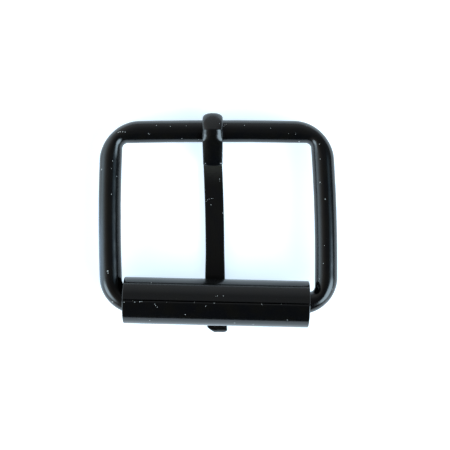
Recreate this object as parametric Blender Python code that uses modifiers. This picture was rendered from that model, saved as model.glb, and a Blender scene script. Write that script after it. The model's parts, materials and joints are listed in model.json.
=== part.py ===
"""Wire roller buckle for a 38 mm belt: a bent wire frame, a swinging tongue and a loose roller.

The buckle lies face down, as it would be put on a table: its front faces -Z, its back faces +Z.
+X runs along the heel bar, which the strap folds round, and +Y points from the roller to the heel
bar. The origin is on the table, under the middle of the buckle. It rests on the tongue, so the
wire frame leans by about two degrees: it is held up by the tongue's hook at the heel bar, and by
the tongue and the roller's wall at the other bar.
"""

import math

import bmesh
import bpy
from mathutils import Matrix, Vector

MM = 0.001

# Driving dimensions
WIRE_DIAMETER = 4.55 * MM
FRAME_LENGTH = 34.8 * MM       # heel bar to roller bar, axis to axis, on the right
LEFT_SHORTFALL = 0.24 * MM     # the left side bar is this much shorter than the right one
HEEL_CORNERS = (-21.6 * MM, 20.95 * MM)    # where the bars' axes would cross at the heel bar
ROLLER_CORNERS = (-21.55 * MM, 21.75 * MM)
HEEL_BEND_RADIUS = 4.9 * MM    # of the wire's axis
ROLLER_BEND_RADIUS = 4.4 * MM
HEEL_BEND_THINNING = 0.18      # the part of the wire's thickness lost in the middle of a bend
ROLLER_BEND_THINNING = 0.08
SIDE_BOW = 0.45 * MM           # how far each side bar bows outwards
HEEL_BOW = 0.25 * MM
BUTT_GAP = 0.3 * MM            # between the wire's two ends, under the roller

ROLLER_DIAMETER = 9.4 * MM
ROLLER_LENGTH = 37.0 * MM
ROLLER_WALL = 0.8 * MM
ROLLER_CENTRE_X = -0.35 * MM   # it has slid towards the left corner
ROLLER_YAW = math.radians(-1.35)
SEAM_GAP = 0.15 * MM
SEAM_ANGLE = math.radians(5.0)  # from straight up, towards the heel bar

TONGUE_THICKNESS = 1.4 * MM
HOOK_WIDTH = 4.2 * MM
SHANK_WIDTH = 3.9 * MM
TIP_WIDTH = 4.1 * MM
TONGUE_REACH = 41.25 * MM      # from the heel bar's axis to the tip
TONGUE_X = -1.1 * MM           # of the hook's middle, along the heel bar
TONGUE_SKEW = 0.016            # sideways run of the shank for each unit of its length
TIP_ASIDE = 0.25 * MM          # how far the blunt tip is off the shank's middle
TIP_LENGTH = 1.8 * MM          # over which the tip is rounded
TIP_FLAT = 0.35                # the share of the width left at the very end
TIP_BEVEL = 0.45               # the share of the thickness taken off its back
HOOK_FLAT = 0.15               # the share of the hook's width that is flat on its outer side
SHANK_FLAT = 0.75              # and the same on the shank, which rests on that flat
EDGE_SHARE = 0.3               # the share of the thickness that stands square at the sides
LEG_END_Y = -5.9 * MM          # the hook's cut end, from the heel bar's axis
LEG_GAP = 0.25 * MM            # between the cut end and the shank

CLEARANCE = 0.25 * MM          # between neighbouring pieces
REST_GAP = 0.3 * MM            # between the tongue and the roller that lies on it
BORE_GAP = 0.4 * MM            # between the roller's bore and the bar that lies low in it
HEEL_Y = 18.62 * MM            # of the heel bar's axis, from the origin
ROLLER_Y = -15.97 * MM         # of the middle of the roller's axis

# Sizes that follow
WIRE_RADIUS = WIRE_DIAMETER / 2
ROLLER_RADIUS = ROLLER_DIAMETER / 2
HOOK_RADIUS = WIRE_RADIUS + CLEARANCE
HEEL_Z = HOOK_RADIUS + TONGUE_THICKNESS
ROLLER_Z = TONGUE_THICKNESS + REST_GAP + ROLLER_RADIUS
ROLLER_BAR_Z = ROLLER_Z - (ROLLER_RADIUS - ROLLER_WALL - BORE_GAP - WIRE_RADIUS)
FRAME_LEAN = -math.asin((ROLLER_BAR_Z - HEEL_Z) / FRAME_LENGTH)

# Fineness
WIRE_BEVEL_RESOLUTION = 6
BEND_STEPS = 10
SIDE_STEPS = 8
ROLLER_STEPS = 60
HOOK_STEP = math.radians(10)
SHOULDER_STEPS = 5
TIP_STEPS = 6


def clear_scene():
    for obj in list(bpy.data.objects):
        bpy.data.objects.remove(obj, do_unlink=True)


def coating(name, color, roughness):
    """A semi-gloss black coat over steel."""
    material = bpy.data.materials.new(name)
    material.use_nodes = True
    shader = material.node_tree.nodes["Principled BSDF"]
    shader.inputs["Base Color"].default_value = (*color, 1.0)
    shader.inputs["Roughness"].default_value = roughness
    shader.inputs["Metallic"].default_value = 0.0
    return material


def add_object(name, data, collection, material):
    obj = bpy.data.objects.new(name, data)
    data.materials.append(material)
    collection.objects.link(obj)
    return obj


def bend(corner, before, after, radius, thinning):
    """Points of the arc that rounds a corner, each with the share of thickness left there."""
    towards_before = (before - corner).normalized()
    towards_after = (after - corner).normalized()
    half_angle = towards_before.angle(towards_after) / 2
    middle_line = (towards_before + towards_after).normalized()
    centre = corner + middle_line * (radius / math.sin(half_angle))
    start = corner + towards_before * (radius / math.tan(half_angle)) - centre
    sweep = math.pi - 2 * half_angle
    turn = math.copysign(sweep, towards_after.cross(towards_before).z)
    points = []
    for step in range(BEND_STEPS + 1):
        through = step / BEND_STEPS
        thickness = 1 - thinning * math.sin(math.pi * through) ** 2
        points.append((centre + Matrix.Rotation(turn * through, 3, "Z") @ start, thickness))
    return points


def bowed(point):
    """The bars of a bent wire aren't quite straight: the sides and the heel bar bow outwards."""
    along = 1 + 2 * point.y / FRAME_LENGTH
    across = point.x / HEEL_CORNERS[1]
    side = math.copysign(SIDE_BOW * max(0.0, 1 - along ** 2), point.x)
    heel = HEEL_BOW * across ** 2 * (1 + along) / 2
    return Vector((point.x + side, point.y - heel, 0.0))


def frame_path():
    """The wire's axis in the frame's own plane, from butt end to butt end, with its thickness."""
    left_length = FRAME_LENGTH - LEFT_SHORTFALL
    corners = [
        Vector((ROLLER_CORNERS[1], -FRAME_LENGTH, 0.0)),
        Vector((HEEL_CORNERS[1], 0.0, 0.0)),
        Vector((HEEL_CORNERS[0], 0.0, 0.0)),
        Vector((ROLLER_CORNERS[0], -left_length, 0.0)),
    ]
    butt = corners[0].lerp(corners[3], 0.5)
    along_bar = (corners[0] - corners[3]).normalized()
    ends = [butt + along_bar * BUTT_GAP / 2, butt - along_bar * BUTT_GAP / 2]
    path = [(ends[0], 1.0)]
    for index, corner in enumerate(corners):
        before = corners[index - 1]
        after = corners[(index + 1) % len(corners)]
        if corner.y == 0.0:
            arc = bend(corner, before, after, HEEL_BEND_RADIUS, HEEL_BEND_THINNING)
        else:
            arc = bend(corner, before, after, ROLLER_BEND_RADIUS, ROLLER_BEND_THINNING)
        start = path[-1][0]
        for step in range(1, SIDE_STEPS):
            path.append((start.lerp(arc[0][0], step / SIDE_STEPS), 1.0))
        path.extend(arc)
    last_arc_end = path[-1][0]
    for step in range(1, SIDE_STEPS + 1):
        path.append((last_arc_end.lerp(ends[1], step / SIDE_STEPS), 1.0))
    return [(bowed(point), thickness) for point, thickness in path]


def build_frame(collection):
    """One round wire bent to a rounded rectangle; its ends meet out of sight, in the roller."""
    path = frame_path()
    curve = bpy.data.curves.new("frame", "CURVE")
    curve.dimensions = "3D"
    curve.bevel_depth = WIRE_RADIUS
    curve.bevel_resolution = WIRE_BEVEL_RESOLUTION
    curve.render_resolution_u = 0
    curve.use_fill_caps = True
    spline = curve.splines.new("POLY")
    spline.points.add(len(path) - 1)
    for spline_point, (place, thickness) in zip(spline.points, path):
        spline_point.co = (*place, 1.0)
        spline_point.radius = thickness
    spline.use_smooth = True
    frame = add_object("frame", curve, collection, coating("frame_coat", (0.012, 0.012, 0.013), 0.33))
    frame.location = (0.0, HEEL_Y, HEEL_Z)
    frame.rotation_euler = (FRAME_LEAN, 0.0, 0.0)
    return frame


def tongue_section(width, thickness, flat):
    """A strip seen end on: flat on its inner side, with its outer side rounded beside a flat.

    Points are (across, outwards).
    """
    edge = EDGE_SHARE * thickness
    shoulder = width * (1 - flat) / 2
    points = [(width / 2, 0.0), (-width / 2, 0.0)]
    for side in (-1, 1):
        for step in range(SHOULDER_STEPS + 1):
            through = step if side < 0 else SHOULDER_STEPS - step
            angle = 0.5 * math.pi * through / SHOULDER_STEPS
            across = side * (width * flat / 2 + shoulder * math.cos(angle))
            points.append((across, edge + (thickness - edge) * math.sin(angle)))
    return points


def hook_stations():
    """Stations of the leg and the hook: inner point (y, z), outward direction and width."""
    leg_end = Vector((LEG_END_Y, LEG_GAP - HOOK_RADIUS))
    reach = leg_end.length
    leg_angle = math.pi + math.atan2(-leg_end.y, -leg_end.x) - math.acos(HOOK_RADIUS / reach)
    leg_out = Vector((math.cos(leg_angle), math.sin(leg_angle)))
    leg_start = leg_out * HOOK_RADIUS
    leg_steps = 4
    stations = []
    for step in range(leg_steps):
        width = SHANK_WIDTH + (HOOK_WIDTH - SHANK_WIDTH) * 0.4 * (step + 1) / leg_steps
        stations.append((leg_end.lerp(leg_start, step / leg_steps), leg_out, width))
    sweep = leg_angle + math.pi / 2
    arc_steps = round(sweep / HOOK_STEP)
    for step in range(arc_steps + 1):
        angle = leg_angle - sweep * step / arc_steps
        outwards = Vector((math.cos(angle), math.sin(angle)))
        fullness = 0.4 + 0.6 * math.sin(math.pi * step / arc_steps) ** 0.5
        width = SHANK_WIDTH + (HOOK_WIDTH - SHANK_WIDTH) * fullness
        stations.append((outwards * HOOK_RADIUS, outwards, width))
    return stations


def shank_stations():
    """Stations of the shank: distance from the heel bar's axis and width."""
    return [
        (5 * MM, SHANK_WIDTH),
        (10 * MM, SHANK_WIDTH),
        (25 * MM, SHANK_WIDTH),
        (30 * MM, TIP_WIDTH),
        (TONGUE_REACH - TIP_LENGTH, TIP_WIDTH),
    ]


def tip_stations():
    """Stations of the rounded tip: distance, width, share of thickness left, and shift aside."""
    stations = []
    for step in range(1, TIP_STEPS + 1):
        through = math.sin(0.5 * math.pi * step / TIP_STEPS)
        distance = TONGUE_REACH - TIP_LENGTH * (1 - through)
        width = TIP_WIDTH * max(TIP_FLAT, math.sqrt(1 - through ** 2))
        share = 1 - TIP_BEVEL * through ** 3
        stations.append((distance, width, share, TIP_ASIDE * through))
    return stations


def build_tongue(collection):
    """A flattened wire hooked round the heel bar, its shank lying along the front of the roller."""
    mesh = bmesh.new()
    rings = []

    def add_ring(inner, outwards, width, flat, share=1.0, aside=0.0):
        bevelled_off = TONGUE_THICKNESS * (1 - share)
        ring = []
        for across, out in tongue_section(width, TONGUE_THICKNESS * share, flat):
            place = inner + outwards * (out + bevelled_off)
            across_place = TONGUE_X + aside + across - place.x * TONGUE_SKEW
            ring.append(mesh.verts.new((across_place, place.x, place.y)))
        rings.append(ring)

    front = Vector((0.0, -1.0))
    for inner, outwards, width in hook_stations():
        add_ring(inner, outwards, width, HOOK_FLAT)
    for distance, width in shank_stations():
        add_ring(Vector((-distance, -HOOK_RADIUS)), front, width, SHANK_FLAT)
    for distance, width, share, aside in tip_stations():
        add_ring(Vector((-distance, -HOOK_RADIUS)), front, width, SHANK_FLAT, share, aside)
    for ring, following in zip(rings, rings[1:]):
        count = len(ring)
        for index in range(count):
            beside = (index + 1) % count
            mesh.faces.new((ring[index], following[index], following[beside], ring[beside]))
    mesh.faces.new(rings[0])
    mesh.faces.new(reversed(rings[-1]))
    bmesh.ops.recalc_face_normals(mesh, faces=mesh.faces)
    data = bpy.data.meshes.new("tongue")
    mesh.to_mesh(data)
    mesh.free()
    data.shade_smooth()
    data.set_sharp_from_angle(angle=math.radians(35))
    tongue = add_object("tongue", data, collection, coating("tongue_coat", (0.013, 0.013, 0.013), 0.35))
    tongue.location = (0.0, HEEL_Y, HEEL_Z)
    return tongue


def build_roller(collection):
    """A strip of sheet rolled to a tube round the frame's lower bar, with an open butt seam."""
    mesh = bmesh.new()
    seam_half = SEAM_GAP / ROLLER_DIAMETER
    left = mesh.verts.new((-ROLLER_LENGTH / 2, 0.0, ROLLER_RADIUS))
    right = mesh.verts.new((ROLLER_LENGTH / 2, 0.0, ROLLER_RADIUS))
    mesh.edges.new((left, right))
    # A turn about +X takes +Z towards -Y, away from the heel bar.
    first_edge = Matrix.Rotation(seam_half - SEAM_ANGLE, 3, "X")
    bmesh.ops.rotate(mesh, verts=mesh.verts, cent=(0, 0, 0), matrix=first_edge)
    bmesh.ops.spin(mesh, geom=list(mesh.verts) + list(mesh.edges), cent=(0, 0, 0), axis=(1, 0, 0),
                   angle=2 * (math.pi - seam_half), steps=ROLLER_STEPS)
    for face in mesh.faces:
        face.normal_update()
        outwards = face.calc_center_median()
        outwards.x = 0.0
        if face.normal.dot(outwards) < 0:
            face.normal_flip()
    data = bpy.data.meshes.new("roller")
    mesh.to_mesh(data)
    mesh.free()
    data.shade_smooth()
    data.set_sharp_from_angle(angle=math.radians(35))
    roller = add_object("roller", data, collection, coating("roller_coat", (0.014, 0.013, 0.013), 0.3))
    roller.location = (ROLLER_CENTRE_X, ROLLER_Y, ROLLER_Z)
    roller.rotation_euler = (0.0, 0.0, ROLLER_YAW)
    wall = roller.modifiers.new("wall", "SOLIDIFY")
    wall.thickness = ROLLER_WALL
    wall.offset = -1.0
    return roller


def main():
    clear_scene()
    buckle = bpy.data.collections.new("roller_buckle")
    bpy.context.scene.collection.children.link(buckle)
    build_frame(buckle)
    build_tongue(buckle)
    build_roller(buckle)


main()
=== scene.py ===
"""Looks of the wire roller buckle: fine meshes in a worn black coat, on a pale table in soft light.

Every length named here is in millimetres, and MM turns it into the frame's metres.
"""
import json
import math

import bpy
from mathutils import Matrix, Vector, noise
from mathutils.bvhtree import BVHTree


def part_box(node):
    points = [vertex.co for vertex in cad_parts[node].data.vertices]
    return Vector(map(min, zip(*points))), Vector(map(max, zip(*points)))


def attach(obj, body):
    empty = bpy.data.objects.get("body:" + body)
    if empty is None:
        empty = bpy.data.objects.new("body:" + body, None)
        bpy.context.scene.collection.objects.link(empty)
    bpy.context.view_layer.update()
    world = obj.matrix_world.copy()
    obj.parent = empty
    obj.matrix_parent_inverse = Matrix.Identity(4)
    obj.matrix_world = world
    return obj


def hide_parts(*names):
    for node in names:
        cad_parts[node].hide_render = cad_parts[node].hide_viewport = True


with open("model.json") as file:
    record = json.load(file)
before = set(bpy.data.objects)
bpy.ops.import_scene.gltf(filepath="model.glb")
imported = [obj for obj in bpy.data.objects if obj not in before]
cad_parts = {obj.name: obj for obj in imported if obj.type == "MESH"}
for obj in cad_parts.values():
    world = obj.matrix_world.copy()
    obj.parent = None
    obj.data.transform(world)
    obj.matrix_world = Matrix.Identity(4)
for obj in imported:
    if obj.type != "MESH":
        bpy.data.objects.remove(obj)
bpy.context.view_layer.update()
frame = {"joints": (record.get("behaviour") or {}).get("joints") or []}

MM = 0.001
UP = Vector((0.0, 0.0, 1.0))

# Where the frame puts things
JOINTS = {joint["name"]: joint for joint in frame["joints"]}
HINGE = Vector(JOINTS["tongue_swing"]["pos_m"])
ROLLER_MIDDLE = Vector(JOINTS["roller_spin"]["pos_m"])
ROLLER_AXIS = Vector(JOINTS["roller_spin"]["axis"]).normalized()
FRAME_LOW, FRAME_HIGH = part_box("frame")
TONGUE_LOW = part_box("tongue")[0]
ROLLER_LOW, ROLLER_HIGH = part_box("roller")
WIRE_RADIUS = FRAME_HIGH.y - HINGE.y
ROLLER_RADIUS = (ROLLER_HIGH.z - ROLLER_LOW.z) / 2
ROLLER_BAR_Y = FRAME_LOW.y + WIRE_RADIUS
ROLLER_BAR_Z = FRAME_HIGH.z - WIRE_RADIUS

SHARP_ANGLE = math.radians(40.0)       # edges steeper than this stay crisp

# The frame's wire: its corners are nearly the CAD's
HEEL_CORNERS = (-21.6, 20.95)
ROLLER_CORNERS = (-21.48, 21.75)
LEFT_SHORTFALL = 0.12                  # the left bar is this much shorter than the right one
ROLLER_BAR_DROP = 0.12                 # the bends run this much further down than the CAD's bar
SIDE_BOW = 0.45
HEEL_BOW = 0.25
BUTT_GAP = 0.3
# Its bends are flattened: each outline has a radius of its own
HEEL_BEND_OUTER = 7.9
ROLLER_BEND_OUTER = 7.2
BEND_INNER = 1.0
WIDE_BEND_INNER = 2.6                  # of the bottom left bend, which was bent round a larger former
BEND_REACH = 6.0                       # from a bend's pivot to the bars' axes
BEND_STEPS = 36
BAR_STEPS = 64
WIRE_SIDES = 56
WIRE_UNEVENNESS, WIRE_WAVE = 0.014, 2.2

ROLLER_WALL = 0.8
SEAM_GAP = 0.12
SEAM_ANGLE = math.radians(5.0)         # from straight up, towards the heel bar
SEAM_FLAT = math.radians(16.0)         # the sheet stays flat this far on each side of the seam
SEAM_UPPER_EDGE = 0.12
SEAM_LOWER_EDGE = 0.42                 # rolled over, so that it catches the light
SEAM_CROWDING = 0.155                  # how strongly the mesh crowds towards the seam
RIM_EDGE = 0.16
RIM_STEPS = 6
ROLLER_SIDES = 180
ROLLER_RINGS = 90
ROLLER_UNEVENNESS, ROLLER_WAVE = 0.02, 5.0
BORE_UNEVENNESS = 0.5                  # of the outside's

TONGUE_THICKNESS = 1.4
HOOK_WIDTH = 4.12
LEG_WIDTH = 4.0
SHANK_WIDTH = 3.9
TIP_WIDTH = 4.1
TONGUE_UNEVENNESS, TONGUE_WAVE = 0.012, 2.6
# Its section. Each pair is the share of the width that is flat on the outer side,
# and the share of the thickness that the edges keep
HOOK_SECTION = (0.06, 0.18)
LEG_SECTION = (0.1, 0.62)
SHANK_SECTION = (0.7, 0.3)
TONGUE_FILLET = 0.2                    # along the edges of the inner side
TONGUE_SIDE = 0.03                     # the least height of a side between its fillet and the dome
INNER_STEPS = 8
FILLET_STEPS = 5
DOME_STEPS = 13
# The leg of the hook, from its cut end up
LEG_END_Y = -6.2
LEG_GAP = 0.25                         # between a closed hook's end and the shank
LEG_RISE = 0.5                         # this end stands further from the shank than a closed hook's
LEG_BEVEL = 0.18
BEVEL_STEPS = 4
LEG_STEPS = 14
# The hook, by the angle round its hinge from +Y: a worn back, a ridge on top and a hammered top side
HOOK_ROUND_END = math.radians(60.0)    # round below this, and hammered flat above
HOOK_BACK_END = math.radians(100.0)    # the back's curve cuts the hook below this
HOOK_WEAR_START, HOOK_WEAR_SPAN = -1.0, 0.8
HOOK_BACK_WEAR = 0.2
HOOK_BACK_TILT = math.radians(27.0)    # of the back at the ridge, away from the leg
HOOK_BACK_CURVE = 14.0                 # the radius of the back's slight curve
HOOK_TOP_TILT = math.radians(12.0)     # of the hammered top, down towards the leg
HOOK_TURN_START, HOOK_TURN_SPAN = math.radians(98.0), math.radians(14.0)
# How far neighbouring outlines are eased into each other
BACK_BLEND, RIDGE_BLEND, TURN_BLEND, INNER_BLEND = 0.06, 0.02, 0.12, 0.08
DOME_START = 1.9                       # from here up, the hook's section turns into the leg's
NARROWING_START, NARROWING_SPAN = 0.3, 1.3     # from here down, it turns into the shank's
HOOK_STEP = math.radians(2.0)
RIDGE_STEP = math.radians(0.6)         # within RIDGE_REACH of the ridge
RIDGE_REACH = math.radians(8.0)
# The shank, by its distance from the hinge: skewed, slightly bent sideways, and wider towards its tip
SHANK_STEPS = 90
TONGUE_SKEW = 0.016
BEND_CREST, BEND_FALL = 0.07, 0.16
BEND_MIDDLE, BEND_HALF = 20.0, 12.0
BEND_START = 5.0                       # the bend has come in fully by here
HIDDEN_START, HIDDEN_SPAN = 30.0, 9.0  # under the roller, where the shank comes back to the other side
TIP_SHIFT = 0.25
SPREAD_START, SPREAD_SPAN = 24.0, 6.0
# The tip. Each cut is the most that it takes off, the share of the tip where it starts, and a power
TIP_LENGTH = 2.2
TIP_STEPS = 18
TIP_LEFT_CUT = (1.35, 0.5, 1.2)
TIP_RIGHT_CUT = (0.45, 0.8, 2.2)
TIP_INNER_CUT = (0.75, 0.6, 1.3)

# The coat
COAT_PLAIN = (0.0021, 0.0022, 0.0027)
COAT_WARM = (0.0030, 0.0027, 0.0022)
COAT_IOR = 1.5
MOTTLE_SIZE, GRAIN_SIZE, RAGGED_SIZE, SHEEN_SIZE = 3.0, 0.16, 0.22, 0.7
SPECK_CELL, DUST_CELL = 1.9, 0.8
SPOT_RADIUS = 0.045                    # as a share of its cell
WIRE_ROUGHNESS = 0.15
ROLLER_ROUGHNESS = 0.12
MOTTLE_ROUGHNESS, GRAIN_ROUGHNESS, BARE_ROUGHNESS = 0.015, 0.04, 0.15
GRAIN_HEIGHT, MOTTLE_HEIGHT, CHIP_DEPTH = 0.0035, 0.004, 0.02
BARE_AND_GLINT_COLOR = (0.40, 0.40, 0.38)
BARE_METALLIC = 0.2
SPECK_STRENGTH = 0.3
DUST_COLOR = (0.16, 0.16, 0.15)
DUST_STRENGTH = 0.25
CHIP_SCALE = 0.75                      # of the radii in the lists of chips and painted glints
# Painted sheen: paler patches of colour that stand in for light. Each is a colour, and the (axis, none, full)
# limits in millimetres that it fades between
# painted sheen on the outer flank of the left bar, towards the roller
FRAME_PAINTED_SHEEN = ((0.11, 0.15, 0.20), [("X", -22.5, -24.0), ("Y", 8.0, -4.0)])
# painted light on the shank's back just below the hook's cut end, fading away from it
TONGUE_PAINTED_SHEEN = ((0.030, 0.027, 0.022), [("Z", 1.7, 1.5), ("Y", 7.2, 11.6)])

# Where the coat has chipped, and where glints and reflections are painted, seen from above: the (x, y,
# radius) of each spot
FRAME_CHIPS_AND_GLINTS = [
    # heel bar, with a scratch in the left bend, and beside the hook a painted reflection of the hook's
    # highlight on the bar
    (-20.1, 18.2, 0.16), (-19.7, 18.3, 0.18), (-19.2, 18.3, 0.16), (-18.7, 18.2, 0.12), (-19.5, 19.4, 0.1),
    (-14.0, 17.9, 0.09), (-13.8, 17.8, 0.08), (-12.4, 19.6, 0.12), (-9.6, 19.4, 0.1), (-6.4, 19.5, 0.1),
    (-7.3, 17.0, 0.1), (-3.9, 16.8, 0.1), (1.2, 19.4, 0.12), (1.4, 19.7, 0.12), (1.7, 19.8, 0.1),
    (5.3, 19.6, 0.12), (10.6, 19.0, 0.1), (14.2, 17.9, 0.07), (15.6, 17.8, 0.1), (16.4, 16.4, 0.2),
    (17.9, 19.6, 0.08),
    # left bar
    (-21.2, 12.4, 0.12), (-21.4, 10.9, 0.1), (-20.4, 9.3, 0.1), (-21.4, 5.7, 0.14), (-23.5, 10.7, 0.2),
    (-22.1, -9.7, 0.2), (-22.0, -10.1, 0.14), (-21.2, -15.9, 0.2),
    # right bar
    (20.4, 15.8, 0.12), (20.5, 12.8, 0.12), (20.5, 8.1, 0.16), (21.5, 4.7, 0.14), (21.3, -4.6, 0.1),
    (21.1, -8.2, 0.1), (20.4, -11.3, 0.14), (22.9, -13.3, 0.1), (19.0, 13.2, 0.14),
]
TONGUE_CHIPS_AND_GLINTS = [
    # hook; the three at the leg's cut end are painted glints on the corners of the cut
    (0.3, 19.9, 0.1), (-2.6, 12.1, 0.12), (0.5, 12.1, 0.14), (0.7, 12.1, 0.16),
    # shank, with one curved scratch
    (-2.5, 4.4, 0.09), (-2.2, 4.7, 0.09), (-1.8, 4.9, 0.09), (-1.4, 5.0, 0.09), (-1.1, 5.0, 0.08),
    (-1.5, 3.7, 0.12), (0.3, 9.0, 0.1), (0.3, 8.6, 0.08), (1.0, 2.0, 0.14), (-0.5, -11.7, 0.12),
    (0.8, -11.7, 0.12),
]
ROLLER_CHIPS = [
    # above the seam
    (-13.2, -11.9, 0.1), (-0.1, -14.4, 0.12), (-0.4, -14.5, 0.08), (1.1, -14.4, 0.12),
    # along the seam
    (-18.4, -15.6, 0.12), (-16.7, -15.3, 0.16), (-16.3, -15.6, 0.12), (-15.3, -15.5, 0.16),
    (-14.9, -15.5, 0.1), (-10.0, -15.6, 0.08), (-4.6, -15.7, 0.08), (-0.7, -15.8, 0.12),
    (8.6, -16.0, 0.14), (12.5, -16.0, 0.1),
    # below the seam, with one scratch
    (-12.4, -16.0, 0.1), (-12.2, -16.3, 0.12), (-11.9, -16.6, 0.1), (-2.4, -16.4, 0.12), (-6.4, -18.1, 0.12),
    (-13.5, -19.4, 0.12), (3.3, -19.9, 0.16), (7.0, -20.2, 0.16), (13.7, -19.2, 0.1),
]

TABLE_HALF = 2000.0
TABLE_SINK = 0.02                      # below z = 0, clear of the tongue's unevenness
TABLE_COLOR = (0.74, 0.68, 0.64, 1.0)
TABLE_GLOW, TABLE_GLOW_STRENGTH = (0.66, 0.84, 1.0, 1.0), 0.95

BLUE = (0.48, 0.78, 1.0)
PALE_BLUE = (0.68, 0.87, 1.0)
# The room's light, each patch as (axis, edge and core in degrees, strength, colour, power of its fall)
LIGHTS = [
    # the soft light on the left, and the wall behind it
    ((-0.82, -0.40, 0.42), 22, 8, 7.0, PALE_BLUE, 1.0),
    ((-1.0, 0.0, 0.0), 90, 0, 2.6, BLUE, 6.0),
    ((-1.0, 0.0, 0.0), 90, 0, 1.0, (1.0, 0.92, 0.82), 1.8),
    # the soft light on the right, a fainter one above it, and the wall behind it
    ((0.75, -0.40, 0.50), 29, 15, 9.0, PALE_BLUE, 1.0),
    ((0.70, -0.05, 0.71), 20, 5, 0.75, BLUE, 1.0),
    ((1.0, -0.1, 0.1), 50, 10, 0.08, BLUE, 1.0),
    # the wall behind the heel bar
    ((0.0, 1.0, 0.0), 90, 0, 0.62, (0.90, 0.97, 1.03), 2.0),
    # the ceiling, and the room as a whole
    ((0.0, 0.1, 1.0), 35, 0, 0.08, (0.95, 0.97, 1.0), 1.0),
    ((0.0, 0.0, 1.0), 180, 0, 0.025, (1.0, 0.95, 0.9), 1.0),
]

CAMERA_LENS = 77.05
CAMERA_PLACE = (1.40, -0.475, 200.0)


def unevenness(point, size, wave, seed):
    """A smooth random rise and fall of a surface, in metres."""
    place = point / (wave * MM)
    return size * MM * noise.noise(place + Vector((seed, 2 * seed, 3 * seed)))


def smooth(share):
    """An eased step: 0 up to 0, 1 from 1 on."""
    share = min(1.0, max(0.0, share))
    return share * share * (3 - 2 * share)


def between(first, second, share):
    return first + (second - first) * share


def quarter_turns(steps):
    """Angles from 0 to a right angle."""
    return [0.5 * math.pi * step / steps for step in range(steps + 1)]


def mesh_object(name, vertices, faces):
    data = bpy.data.meshes.new(name)
    data.from_pydata(vertices, [], faces)
    data.validate()
    data.update()
    data.shade_smooth()
    data.set_sharp_from_angle(angle=SHARP_ANGLE)
    obj = bpy.data.objects.new(name, data)
    bpy.context.scene.collection.objects.link(obj)
    return obj


def skin(rings):
    """Vertices and faces of a tube through rings of equal length, with both ends closed."""
    count = len(rings[0])
    vertices = [point for ring in rings for point in ring]
    faces = []
    for row in range(len(rings) - 1):
        for index in range(count):
            beside = (index + 1) % count
            start = row * count
            faces.append((start + index, start + count + index, start + count + beside, start + beside))
    faces.append(tuple(range(count)))
    last = (len(rings) - 1) * count
    faces.append(tuple(reversed(range(last, last + count))))
    return vertices, faces


# ---------------------------------------------------------------- frame

def outline_reach(direction, normals, offset, fillet):
    """How far a ray from a bend's pivot runs to an outline: two lines joined by a fillet."""
    leans = [direction.dot(normal) for normal in normals]
    line = min(offset / lean for lean in leans if lean > 0.01)
    centre = (normals[0] + normals[1]) * ((offset - fillet) / (1 + normals[0].dot(normals[1])))
    along = direction.dot(centre)
    inside = along ** 2 - centre.length_squared + fillet ** 2
    if inside < 0:
        return line
    arc = along + math.sqrt(inside)
    past = direction * arc - centre
    on_arc = past.dot(normals[0]) >= past.length * normals[0].dot(normals[1]) and past.dot(normals[1]) >= 0
    return min(line, arc) if on_arc else line


def bend_sections(corner, before, after, outer, inner):
    """Pairs of (inner, outer) points where the flattened wire turns a corner."""
    radius = WIRE_RADIUS / MM
    to_before = (before - corner).normalized()
    to_after = (after - corner).normalized()
    sine = abs(to_before.x * to_after.y - to_before.y * to_after.x)
    pivot = corner + (to_before + to_after) * (BEND_REACH / sine)
    normals = [-(to_after - to_before * to_before.dot(to_after)).normalized(),
               -(to_before - to_after * to_after.dot(to_before)).normalized()]
    sweep = normals[0].angle(normals[1])
    turn = math.copysign(sweep, normals[0].x * normals[1].y - normals[0].y * normals[1].x)
    pairs = []
    for step in range(BEND_STEPS + 1):
        direction = (Matrix.Rotation(turn * step / BEND_STEPS, 2) @ normals[0].to_2d()).to_3d()
        reach_in = outline_reach(direction, normals, BEND_REACH - radius, inner)
        reach_out = outline_reach(direction, normals, BEND_REACH + radius, outer)
        pairs.append((pivot + direction * reach_in, pivot + direction * reach_out))
    return pairs


def bowed(point, length):
    """The side bars and the heel bar bow outwards a little."""
    along = 1 + 2 * point.y / length
    across = point.x / HEEL_CORNERS[1]
    side = math.copysign(SIDE_BOW * max(0.0, 1 - along ** 2), point.x)
    heel = HEEL_BOW * across ** 2 * (1 + along) / 2
    return Vector((point.x + side, point.y - heel, 0.0))


def frame_sections(length):
    """Every (inner, outer) pair along the wire, from butt end to butt end, in its own plane."""
    radius = WIRE_RADIUS / MM
    corners = [
        Vector((ROLLER_CORNERS[1], -length, 0.0)),
        Vector((HEEL_CORNERS[1], 0.0, 0.0)),
        Vector((HEEL_CORNERS[0], 0.0, 0.0)),
        Vector((ROLLER_CORNERS[0], LEFT_SHORTFALL - length, 0.0)),
    ]
    inners = [BEND_INNER, BEND_INNER, BEND_INNER, WIDE_BEND_INNER]
    outers = [ROLLER_BEND_OUTER, HEEL_BEND_OUTER, HEEL_BEND_OUTER, ROLLER_BEND_OUTER]
    butt = corners[0].lerp(corners[3], 0.5)
    along_bar = (corners[0] - corners[3]).normalized()
    inwards = Vector((-along_bar.y, along_bar.x, 0.0)) * radius

    def butt_pair(side):
        end = butt + along_bar * (side * BUTT_GAP / 2)
        return end + inwards, end - inwards

    pairs = [butt_pair(1)]
    for index, corner in enumerate(corners):
        before, after = corners[index - 1], corners[(index + 1) % 4]
        arc = bend_sections(corner, before, after, outers[index], inners[index])
        previous = pairs[-1]
        for step in range(1, BAR_STEPS):
            share = step / BAR_STEPS
            pairs.append((previous[0].lerp(arc[0][0], share), previous[1].lerp(arc[0][1], share)))
        pairs.extend(arc)
    previous, last = pairs[-1], butt_pair(-1)
    for step in range(1, BAR_STEPS + 1):
        share = step / BAR_STEPS
        pairs.append((previous[0].lerp(last[0], share), previous[1].lerp(last[1], share)))
    return [(bowed(inner, length), bowed(outer, length)) for inner, outer in pairs]


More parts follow.
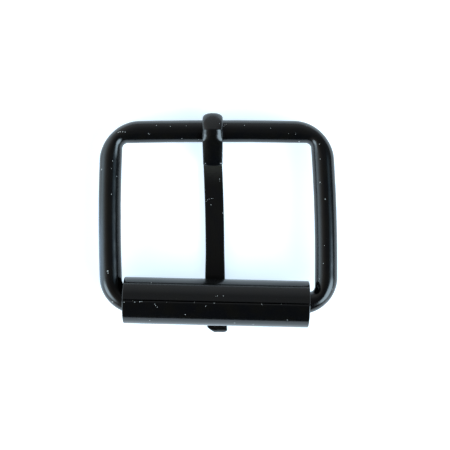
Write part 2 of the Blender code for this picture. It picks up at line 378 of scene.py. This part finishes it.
def build_frame():
    """One round wire bent to a rounded rectangle and butted inside the roller."""
    run = Vector((0.0, ROLLER_BAR_Y - HINGE.y - ROLLER_BAR_DROP * MM, ROLLER_BAR_Z - HINGE.z))
    lean = math.atan2(run.z, -run.y)
    place = Matrix.Translation((0.0, HINGE.y, HINGE.z)) @ Matrix.Rotation(-lean, 4, "X")
    rings = []
    for inner, outer in frame_sections(run.length / MM):
        middle = (inner + outer) * (MM / 2)
        half = (outer - inner) * (MM / 2)
        ring = []
        for side in range(WIRE_SIDES):
            angle = 2 * math.pi * side / WIRE_SIDES
            off = half * math.cos(angle) + UP * (WIRE_RADIUS * math.sin(angle))
            point = middle + off
            point += off.normalized() * unevenness(point, WIRE_UNEVENNESS, WIRE_WAVE, seed=3.1)
            ring.append(place @ point)
        rings.append(ring)
    return mesh_object("frame_wire", *skin(rings))


# ---------------------------------------------------------------- roller

def roller_outer(angle, inset):
    """The tube's outer radius at an angle round from its seam, for a skin drawn in by inset."""
    radius = ROLLER_RADIUS / MM
    off_seam = min(angle, 2 * math.pi - angle)
    edge = SEAM_UPPER_EDGE if angle < math.pi else SEAM_LOWER_EDGE
    if off_seam < SEAM_FLAT:
        radius /= math.cos(SEAM_FLAT - off_seam)
    from_edge = off_seam * radius - SEAM_GAP / 2
    if from_edge < edge:
        short = edge - max(0.0, from_edge)
        radius -= edge - math.sqrt(edge ** 2 - short ** 2)
    return radius - inset


def build_roller():
    """A strip of sheet rolled to a tube, its edges butted in a slightly peaked seam."""
    across = UP.cross(ROLLER_AXIS).normalized()
    yaw = math.atan2(ROLLER_AXIS.y, ROLLER_AXIS.x)
    half = ((ROLLER_HIGH.x - ROLLER_LOW.x) / 2 - abs(math.sin(yaw)) * ROLLER_RADIUS) / math.cos(yaw) / MM
    bore = ROLLER_RADIUS / MM - ROLLER_WALL
    edge_angle = SEAM_GAP / 2 / (ROLLER_RADIUS / MM)
    angles = []
    for step in range(ROLLER_SIDES + 1):
        share = step / ROLLER_SIDES
        eased = share - math.sin(2 * math.pi * share) * SEAM_CROWDING
        angles.append(edge_angle + eased * 2 * (math.pi - edge_angle))
    rim = [(-half + RIM_EDGE * (1 - math.cos(turn)), RIM_EDGE * (1 - math.sin(turn)))
           for turn in quarter_turns(RIM_STEPS)]
    stations = list(rim)
    for step in range(1, ROLLER_RINGS):
        stations.append((-half + RIM_EDGE + (2 * half - 2 * RIM_EDGE) * step / ROLLER_RINGS, 0.0))
    stations += [(-along, inset) for along, inset in reversed(rim)]
    vertices = []
    for along, inset in stations:
        outer_row, inner_row = [], []
        for angle in angles:
            turned = angle + SEAM_ANGLE
            outwards = across * math.sin(turned) + UP * math.cos(turned)
            on_axis = ROLLER_MIDDLE + ROLLER_AXIS * (along * MM)
            point = on_axis + outwards * (roller_outer(angle, inset) * MM)
            rise = unevenness(point, ROLLER_UNEVENNESS, ROLLER_WAVE, seed=7.7)
            outer_row.append(point + outwards * rise)
            inner_row.append(on_axis + outwards * ((bore + inset) * MM + rise * BORE_UNEVENNESS))
        vertices += outer_row + inner_row
    count = len(angles)
    faces = []
    for row in range(len(stations) - 1):
        here, there = row * 2 * count, (row + 1) * 2 * count
        for index in range(count - 1):
            faces.append((here + index, here + index + 1, there + index + 1, there + index))
            inner = count + index
            faces.append((here + inner, there + inner, there + inner + 1, here + inner + 1))
        faces.append((here, there, there + count, here + count))
        faces.append((here + count - 1, here + 2 * count - 1, there + 2 * count - 1, there + count - 1))
    last = (len(stations) - 1) * 2 * count
    for index in range(count - 1):
        faces.append((index, count + index, count + index + 1, index + 1))
        faces.append((last + index, last + index + 1, last + count + index + 1, last + count + index))
    return mesh_object("roller_tube", vertices, [face[::-1] for face in faces])


# ---------------------------------------------------------------- tongue

def tongue_outline(left, right, thickness, section):
    """A section of the tongue as (across, outwards) points: inner side flat, outer side domed."""
    flat, edge_share = section
    width = right - left
    middle = (left + right) / 2
    half = width / 2
    # The fillet is smaller where the tongue is thin or narrow
    fillet = min(TONGUE_FILLET, thickness * 0.25, width * 0.1)
    edge = max(fillet + TONGUE_SIDE, edge_share * thickness)
    shoulder = width * (1 - flat) / 2
    inner = [(half - fillet - (width - 2 * fillet) * step / INNER_STEPS, 0.0)
             for step in range(INNER_STEPS + 1)]
    side = [(half - fillet + fillet * math.sin(angle), fillet - fillet * math.cos(angle))
            for angle in quarter_turns(FILLET_STEPS)[1:]]
    side += [(half - shoulder * (1 - math.cos(angle)), edge + (thickness - edge) * math.sin(angle))
             for angle in quarter_turns(DOME_STEPS)]
    points = inner + [(-across, outwards) for across, outwards in side] + side[::-1]
    return [(middle + across, outwards) for across, outwards in points]


def soft_least(values, blend):
    """The least of some lengths, eased where two of them are within blend of each other."""
    least = min(values)
    total = sum(math.exp((least - value) / blend) for value in values)
    return least - blend * math.log(total)


def hook_radii(angle, hook, leg_angle):
    """The hook's inner and outer radius at an angle from +Y: round, but hammered to a ridge on top."""
    outer = hook + TONGUE_THICKNESS
    if angle < HOOK_ROUND_END:
        lines = [outer - HOOK_BACK_WEAR * smooth((angle - HOOK_WEAR_START) / HOOK_WEAR_SPAN)]
        blend = BACK_BLEND
    else:
        top = math.pi / 2 + HOOK_TOP_TILT
        lines = [outer * math.cos(HOOK_TOP_TILT) / math.cos(angle - top), outer / math.cos(angle - leg_angle)]
        # Crisp at the ridge, and rounder where the hook turns down to its leg
        blend = RIDGE_BLEND + TURN_BLEND * smooth((angle - HOOK_TURN_START) / HOOK_TURN_SPAN)
    if angle < HOOK_BACK_END:
        ridge = Vector((0.0, outer))
        back_normal = Vector((math.sin(HOOK_BACK_TILT), math.cos(HOOK_BACK_TILT)))
        back_centre = ridge - back_normal * HOOK_BACK_CURVE
        along = Vector((math.cos(angle), math.sin(angle))).dot(back_centre)
        lines.append(along + math.sqrt(along ** 2 - back_centre.length_squared + HOOK_BACK_CURVE ** 2))
    inner = hook
    if angle > math.pi / 2:
        inner = soft_least([hook / math.sin(angle), hook / math.cos(angle - leg_angle)], INNER_BLEND)
    return inner, soft_least(lines, blend)


def sideways(distance):
    """How far the shank is skewed and bent sideways, at a distance from the hinge along it."""
    bend = BEND_CREST - BEND_FALL * ((distance - BEND_MIDDLE) / BEND_HALF) ** 2
    hidden = smooth((distance - HIDDEN_START) / HIDDEN_SPAN)
    return distance * TONGUE_SKEW + bend * smooth(distance / BEND_START) * (1 - hidden) + TIP_SHIFT * hidden


def cut_away(share, cut):
    """What a (most, start, power) cut takes off at a share of the tip's length."""
    most, start, power = cut
    return most * max(0.0, (share - start) / (1 - start)) ** power


def build_tongue():
    """A flattened wire hooked round the heel bar, with a blunt, slightly lopsided tip."""
    hook = (HINGE.z - TONGUE_LOW.z) / MM - TONGUE_THICKNESS
    reach = (HINGE.y - TONGUE_LOW.y) / MM
    rings = []

    def add_ring(inner, outwards, sides, thickness, section, lift=0.0, shift=0.0):
        """A ring whose inner side is lift outwards of inner, a (y, z) point from the hinge."""
        ring = []
        for across, out in tongue_outline(*sides, thickness, section):
            flat_point = inner + outwards * (out + lift)
            point = HINGE + Vector((across + shift, flat_point.x, flat_point.y)) * MM
            normal = Vector((0.0, outwards.x, outwards.y))
            ring.append(point + normal * unevenness(point, TONGUE_UNEVENNESS, TONGUE_WAVE, seed=5.3))
        rings.append(ring[::-1])

    leg_end = Vector((LEG_END_Y, LEG_GAP + LEG_RISE - hook))
    leg_angle = math.pi + math.atan2(-leg_end.y, -leg_end.x) - math.acos(hook / leg_end.length)
    leg_out = Vector((math.cos(leg_angle), math.sin(leg_angle)))
    leg_start = leg_out * hook
    leg_along = (leg_start - leg_end).normalized()
    for turn in quarter_turns(BEVEL_STEPS):
        inset = LEG_BEVEL * (1 - math.sin(turn))
        place = leg_end + leg_along * (LEG_BEVEL * (1 - math.cos(turn))) + leg_out * inset
        half = LEG_WIDTH / 2 - inset
        add_ring(place, leg_out, (-half, half), TONGUE_THICKNESS - 2 * inset, LEG_SECTION)
    for step in range(1, LEG_STEPS):
        share = step / LEG_STEPS
        half = between(LEG_WIDTH, HOOK_WIDTH, smooth(share)) / 2
        place = (leg_end + leg_along * LEG_BEVEL).lerp(leg_start, share)
        add_ring(place, leg_out, (-half, half), TONGUE_THICKNESS, LEG_SECTION)

    angle = leg_angle
    while angle > -math.pi / 2:
        inner, outer = hook_radii(angle, hook, leg_angle)
        outwards = Vector((math.cos(angle), math.sin(angle)))
        domed = 1 - smooth((angle - DOME_START) / (leg_angle - DOME_START))
        narrowing = smooth((NARROWING_START - angle) / NARROWING_SPAN)
        section = [between(between(leg, dome, domed), shank, narrowing)
                   for leg, dome, shank in zip(LEG_SECTION, HOOK_SECTION, SHANK_SECTION)]
        half = between(HOOK_WIDTH, SHANK_WIDTH, narrowing) / 2
        add_ring(outwards * inner, outwards, (-half, half), outer - inner, section)
        angle -= RIDGE_STEP if abs(angle - math.pi / 2) < RIDGE_REACH else HOOK_STEP

    front = Vector((0.0, -1.0))
    tip_start = reach - TIP_LENGTH
    for step in range(SHANK_STEPS + 1):
        distance = tip_start * step / SHANK_STEPS
        half = between(SHANK_WIDTH, TIP_WIDTH, smooth((distance - SPREAD_START) / SPREAD_SPAN)) / 2
        add_ring(Vector((-distance, -hook)), front, (-half, half), TONGUE_THICKNESS, SHANK_SECTION,
                 shift=sideways(distance))
    half = TIP_WIDTH / 2
    for turn in quarter_turns(TIP_STEPS)[1:]:
        share = math.sin(turn)
        distance = tip_start + (reach - tip_start) * share
        sides = (-half + cut_away(share, TIP_LEFT_CUT), half - cut_away(share, TIP_RIGHT_CUT))
        off = cut_away(share, TIP_INNER_CUT)
        add_ring(Vector((-distance, -hook)), front, sides, TONGUE_THICKNESS - off, SHANK_SECTION,
                 lift=off, shift=sideways(distance))
    return mesh_object("tongue_hook_and_shank", *skin(rings))


# ---------------------------------------------------------------- coats

class Nodes:
    """Short names for the few kinds of node that the coats are made of."""

    def __init__(self, material):
        self.tree = material.node_tree
        self.coordinates = self.new("ShaderNodeTexCoord").outputs["Object"]

    def new(self, kind, **settings):
        node = self.tree.nodes.new(kind)
        for name, value in settings.items():
            setattr(node, name, value)
        return node

    def put(self, socket, value):
        if isinstance(value, bpy.types.NodeSocket):
            self.tree.links.new(value, socket)
        else:
            socket.default_value = value

    def math(self, operation, first, second=0.0, clamp=False):
        node = self.new("ShaderNodeMath", operation=operation, use_clamp=clamp)
        self.put(node.inputs[0], first)
        self.put(node.inputs[1], second)
        return node.outputs[0]

    def ramp(self, value, low, high, to_low=0.0, to_high=1.0):
        node = self.new("ShaderNodeMapRange", interpolation_type="SMOOTHSTEP")
        self.put(node.inputs["Value"], value)
        for name, number in (("From Min", low), ("From Max", high), ("To Min", to_low), ("To Max", to_high)):
            self.put(node.inputs[name], number)
        return node.outputs["Result"]

    def shifted(self, offset):
        """The object's coordinates, moved by offset millimetres on each axis."""
        mapping = self.new("ShaderNodeMapping")
        self.put(mapping.inputs["Vector"], self.coordinates)
        mapping.inputs["Location"].default_value = (offset * MM, offset * MM, offset * MM)
        return mapping.outputs["Vector"]

    def noise(self, size, detail, offset):
        """Noise whose features are about size millimetres across."""
        place = self.shifted(offset)
        node = self.new("ShaderNodeTexNoise")
        self.put(node.inputs["Vector"], place)
        node.inputs["Scale"].default_value = 1 / (size * MM)
        node.inputs["Detail"].default_value = detail
        node.inputs["Roughness"].default_value = 0.6
        return node.outputs["Fac"]

    def spots(self, size, offset):
        """1 inside and 0 outside of specks, in some cells of a pattern of cells size millimetres wide."""
        place = self.shifted(offset)
        node = self.new("ShaderNodeTexVoronoi")
        self.put(node.inputs["Vector"], place)
        node.inputs["Scale"].default_value = 1 / (size * MM)
        near = self.ramp(node.outputs["Distance"], SPOT_RADIUS * 0.6, SPOT_RADIUS, 1.0, 0.0)
        pick = self.new("ShaderNodeSeparateColor")
        self.put(pick.inputs[0], node.outputs["Color"])
        return self.math("MULTIPLY", near, self.ramp(pick.outputs[0], 0.72, 0.78))

    def chips_and_glints(self, places, ragged):
        """Chips and painted glints at places, each a point and a radius in millimetres, their edges made
        ragged by a noise.
        """
        nearest = None
        for point, radius in places:
            node = self.new("ShaderNodeVectorMath", operation="DISTANCE")
            self.put(node.inputs[0], self.coordinates)
            node.inputs[1].default_value = point
            far = self.math("DIVIDE", node.outputs["Value"], radius * MM)
            nearest = far if nearest is None else self.math("MINIMUM", nearest, far)
        return self.ramp(self.math("ADD", nearest, ragged), 1.3, 1.6, 1.0, 0.0)

    def mix(self, share, first, second):
        node = self.new("ShaderNodeMix", data_type="RGBA")
        self.put(node.inputs["Factor"], share)
        for name, value in (("A", first), ("B", second)):
            socket = next(s for s in node.inputs if s.name == name and s.type == "RGBA")
            self.put(socket, value if isinstance(value, bpy.types.NodeSocket) else (*value, 1.0))
        return next(s for s in node.outputs if s.type == "RGBA")


def painted_sheen_share(nodes, limits, offset):
    """1 where light is painted into the coat as a paler patch and 0 where it isn't, fading between the limits
    on each axis.
    """
    part = nodes.new("ShaderNodeSeparateXYZ")
    nodes.put(part.inputs[0], nodes.coordinates)
    sheen = nodes.ramp(nodes.noise(SHEEN_SIZE, 3.0, offset + 9.0), 0.2, 0.7, 0.75, 1.0)
    for axis, none, full in limits:
        share = nodes.math("SUBTRACT", part.outputs[axis], none * MM)
        share = nodes.math("DIVIDE", share, (full - none) * MM, clamp=True)
        sheen = nodes.math("MULTIPLY", sheen, nodes.math("POWER", share, 2.0))
    return sheen


def black_coat(name, roughness, chips_and_glints, offset, painted_sheen):
    """A semi-gloss black coat, faintly mottled, with specks of bare steel where it has chipped, small spots
    of painted glint and reflection, and paler patches of painted sheen.
    """
    material = bpy.data.materials.new(name)
    material.use_nodes = True
    nodes = Nodes(material)
    shader = material.node_tree.nodes["Principled BSDF"]
    mottle = nodes.noise(MOTTLE_SIZE, 4.0, offset)
    grain = nodes.noise(GRAIN_SIZE, 3.0, offset)
    ragged = nodes.noise(RAGGED_SIZE, 2.0, offset + 5.0)
    specks = nodes.spots(SPECK_CELL, offset)
    dust = nodes.spots(DUST_CELL, offset + 3.0)
    # Bare steel in chips and specks, and the painted glints and reflections, share one mask
    bare_and_glints = nodes.math("MAXIMUM", nodes.math("MULTIPLY", specks, SPECK_STRENGTH), nodes.chips_and_glints(chips_and_glints, ragged))

    color = nodes.mix(nodes.ramp(mottle, 0.35, 0.65), COAT_PLAIN, COAT_WARM)
    # A paler patch of painted sheen, standing in for light falling on the flank
    if painted_sheen:
        sheen_color, limits = painted_sheen
        color = nodes.mix(painted_sheen_share(nodes, limits, offset), color, sheen_color)
    color = nodes.mix(nodes.math("MULTIPLY", dust, DUST_STRENGTH), color, DUST_COLOR)
    nodes.put(shader.inputs["Base Color"], nodes.mix(bare_and_glints, color, BARE_AND_GLINT_COLOR))

    rough = nodes.ramp(mottle, 0.3, 0.7, roughness - MOTTLE_ROUGHNESS, roughness + MOTTLE_ROUGHNESS)
    for share, rise in ((grain, GRAIN_ROUGHNESS), (bare_and_glints, BARE_ROUGHNESS)):
        rough = nodes.math("ADD", rough, nodes.math("MULTIPLY", share, rise))
    nodes.put(shader.inputs["Roughness"], rough)
    nodes.put(shader.inputs["Metallic"], nodes.math("MULTIPLY", bare_and_glints, BARE_METALLIC))
    shader.inputs["IOR"].default_value = COAT_IOR

    height = nodes.math("ADD", nodes.math("MULTIPLY", grain, GRAIN_HEIGHT),
                        nodes.math("MULTIPLY", mottle, MOTTLE_HEIGHT))
    height = nodes.math("SUBTRACT", height, nodes.math("MULTIPLY", bare_and_glints, CHIP_DEPTH))
    bump = nodes.new("ShaderNodeBump")
    bump.inputs["Strength"].default_value = 1.0
    bump.inputs["Distance"].default_value = MM
    nodes.put(bump.inputs["Height"], height)
    nodes.put(shader.inputs["Normal"], bump.outputs["Normal"])
    return material


def on_top(piece, chips_and_glints):
    """Where (x, y, radius) chips and painted glints land when they are dropped onto a piece from above."""
    vertices = [vertex.co for vertex in piece.data.vertices]
    tree = BVHTree.FromPolygons(vertices, [tuple(face.vertices) for face in piece.data.polygons])
    places = []
    for x, y, radius in chips_and_glints:
        point = tree.ray_cast(Vector((x, y, 100.0)) * MM, -UP)[0]
        if point is not None:
            places.append((point, radius * CHIP_SCALE))
    return places


# ---------------------------------------------------------------- table, light and camera

def add_table():
    """A wide pale table that glows, like a product table lit from below, so that it keeps no hard shadow."""
    half, sink = TABLE_HALF * MM, TABLE_SINK * MM
    corners = [(-half, -half, -sink), (half, -half, -sink), (half, half, -sink), (-half, half, -sink)]
    table = mesh_object("table", corners, [(0, 1, 2, 3)])
    material = bpy.data.materials.new("pale_table")
    material.use_nodes = True
    shader = material.node_tree.nodes["Principled BSDF"]
    shader.inputs["Base Color"].default_value = TABLE_COLOR
    shader.inputs["Roughness"].default_value = 0.8
    shader.inputs["Specular IOR Level"].default_value = 0.1
    shader.inputs["Emission Color"].default_value = TABLE_GLOW
    shader.inputs["Emission Strength"].default_value = TABLE_GLOW_STRENGTH
    table.data.materials.append(material)


def add_room_light():
    """A dim room with a big soft light low on each side and a pale wall behind the heel bar."""
    world = bpy.data.worlds.new("studio")
    world.use_nodes = True
    bpy.context.scene.world = world
    nodes = world.node_tree.nodes
    links = world.node_tree.links
    towards = nodes.new("ShaderNodeTexCoord").outputs["Generated"]

    def patch(axis, edge, core, strength, color, power):
        """Light from round an axis, full within core degrees and gone by edge degrees."""
        dot = nodes.new("ShaderNodeVectorMath")
        dot.operation = "DOT_PRODUCT"
        links.new(towards, dot.inputs[0])
        dot.inputs[1].default_value = Vector(axis).normalized()
        near = nodes.new("ShaderNodeMapRange")
        near.interpolation_type = "SMOOTHSTEP" if power == 1.0 else "LINEAR"
        links.new(dot.outputs["Value"], near.inputs["Value"])
        near.inputs["From Min"].default_value = math.cos(math.radians(edge))
        near.inputs["From Max"].default_value = math.cos(math.radians(core))
        fall = nodes.new("ShaderNodeMath")
        fall.operation = "POWER"
        links.new(near.outputs["Result"], fall.inputs[0])
        fall.inputs[1].default_value = power
        tint = nodes.new("ShaderNodeVectorMath")
        tint.operation = "SCALE"
        tint.inputs[0].default_value = [channel * strength for channel in color]
        links.new(fall.outputs["Value"], tint.inputs["Scale"])
        return tint.outputs["Vector"]

    patches = [patch(*light) for light in LIGHTS]
    total = patches[0]
    for extra in patches[1:]:
        add = nodes.new("ShaderNodeVectorMath")
        add.operation = "ADD"
        links.new(total, add.inputs[0])
        links.new(extra, add.inputs[1])
        total = add.outputs["Vector"]
    links.new(total, nodes["Background"].inputs["Color"])


def add_camera():
    """Straight above the buckle, 20 cm up."""
    camera = bpy.data.objects.new("camera", bpy.data.cameras.new("camera"))
    camera.data.lens = CAMERA_LENS
    camera.data.sensor_width = 36.0
    camera.data.clip_start = 0.01
    camera.location = Vector(CAMERA_PLACE) * MM
    bpy.context.scene.collection.objects.link(camera)
    bpy.context.scene.camera = camera


def main():
    bpy.context.scene.view_settings.view_transform = "Standard"
    add_camera()
    add_room_light()
    add_table()
    # Each piece with its node, roughness, chips and painted glints, offset into the noises, and patch of
    # painted sheen
    pieces = [
        (build_frame(), "frame", WIRE_ROUGHNESS, FRAME_CHIPS_AND_GLINTS, 0.0, FRAME_PAINTED_SHEEN),
        (build_tongue(), "tongue", WIRE_ROUGHNESS, TONGUE_CHIPS_AND_GLINTS, 11.0, TONGUE_PAINTED_SHEEN),
        (build_roller(), "roller", ROLLER_ROUGHNESS, ROLLER_CHIPS, 23.0, None),
    ]
    for piece, node, roughness, chips_and_glints, offset, painted_sheen in pieces:
        coat = black_coat(node + "_coat", roughness, on_top(piece, chips_and_glints), offset, painted_sheen)
        piece.data.materials.append(coat)
        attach(piece, node)
        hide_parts(node)


main()
